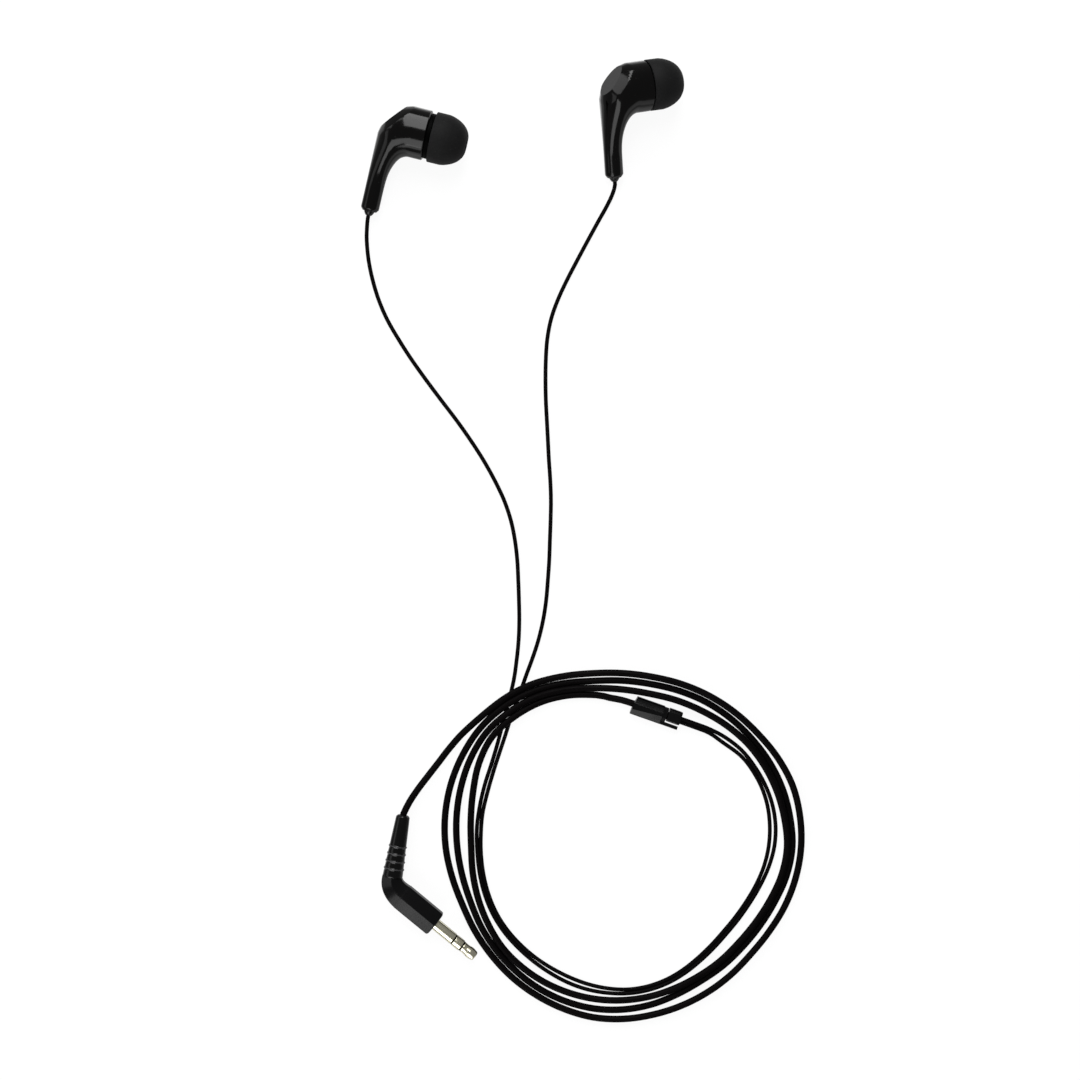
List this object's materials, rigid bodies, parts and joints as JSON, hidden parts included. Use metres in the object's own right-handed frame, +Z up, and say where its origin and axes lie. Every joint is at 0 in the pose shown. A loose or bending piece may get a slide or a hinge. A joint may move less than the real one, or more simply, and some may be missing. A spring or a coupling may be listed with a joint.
{
  "type": "wired earphones",
  "caption": "Wired in-ear earphones with silicone tips, thin ear cords, a sliding cinch, a Y-split and a coiled cord with an angled stereo plug.",
  "frame": {"origin": "on the surface that the earphones lie on, under the middle of the pair of earbuds", "axes": "+Z up from the surface, +X from the left earbud to the right one, -Y towards the coiled cord"},
  "size_m": [0.1303, 0.2822, 0.0176],
  "materials": {
    "gloss_housing": "glossy moulded black with a soft grey sheen",
    "matte_cover": "fine matt black",
    "silicone_tip": "soft matt black silicone",
    "cord_jacket": "smooth satin black jacket",
    "moulded_grip": "satin moulded black",
    "soft_relief": "matt black, flexible",
    "plug_metal": "polished nickel with a warm tone",
    "plug_insulator": "smooth black",
    "steel_parts": "satin",
    "copper_wire": "enamelled winding",
    "diaphragm_film": "thin clear film",
    "circuit_board": "green solder mask"
  },
  "bodies": {
    "root": {"left_cord": "cord_jacket", "right_cord": "cord_jacket", "main_cord_tail": "cord_jacket", "cord_coil": "cord_jacket", "y_split": "moulded_grip", "main_cord_at_split": "cord_jacket", "ear_cord_pair": "cord_jacket", "plug_grip": "moulded_grip", "plug_strain_relief": "soft_relief", "plug_sleeve_contact": "plug_metal", "plug_outer_insulator": "plug_insulator", "plug_ring_contact": "plug_metal", "plug_inner_insulator": "plug_insulator", "plug_tip_contact": "plug_metal"},
    "left_earbud": {"left_housing": "gloss_housing", "left_front_cover": "matte_cover", "left_nozzle_mesh": "steel_parts", "left_terminal_board": "circuit_board", "left_yoke_cup": "steel_parts", "left_magnet": "steel_parts", "left_pole_plate": "steel_parts", "left_voice_coil": "copper_wire", "left_driver_frame": "matte_cover", "left_diaphragm": "diaphragm_film", "left_stem_bushing": "matte_cover", "left_inner_lead": "cord_jacket"},
    "right_earbud": {"right_housing": "gloss_housing", "right_front_cover": "matte_cover", "right_nozzle_mesh": "steel_parts", "right_terminal_board": "circuit_board", "right_yoke_cup": "steel_parts", "right_magnet": "steel_parts", "right_pole_plate": "steel_parts", "right_voice_coil": "copper_wire", "right_driver_frame": "matte_cover", "right_diaphragm": "diaphragm_film", "right_stem_bushing": "matte_cover", "right_inner_lead": "cord_jacket"},
    "left_tip": {"left_ear_tip": "silicone_tip"},
    "right_tip": {"right_ear_tip": "silicone_tip"},
    "cinch": {"slider": "moulded_grip"}
  },
  "joints": [
    {"name": "left_swing", "type": "hinge", "parent": "root", "child": "left_earbud", "pos_m": [-0.04502, -0.02198, 0.00259], "axis": [0, 0, 1], "range_deg": [-60, 60]},
    {"name": "right_swing", "type": "hinge", "parent": "root", "child": "right_earbud", "pos_m": [0.02703, -0.01191, 0.00196], "axis": [0, 0, 1], "range_deg": [-60, 60]},
    {"name": "left_tip_slide", "type": "slide", "parent": "left_earbud", "child": "left_tip", "axis": [0.9703, -0.2419, 0], "range_m": [0, 0.006]},
    {"name": "right_tip_slide", "type": "slide", "parent": "right_earbud", "child": "right_tip", "axis": [0.9553, 0.1724, -0.24], "range_m": [0, 0.006]},
    {"name": "cinch_slide", "type": "slide", "parent": "root", "child": "cinch", "axis": [0.9426, -0.3338, 0], "range_m": [0, 0.008]}
  ]
}
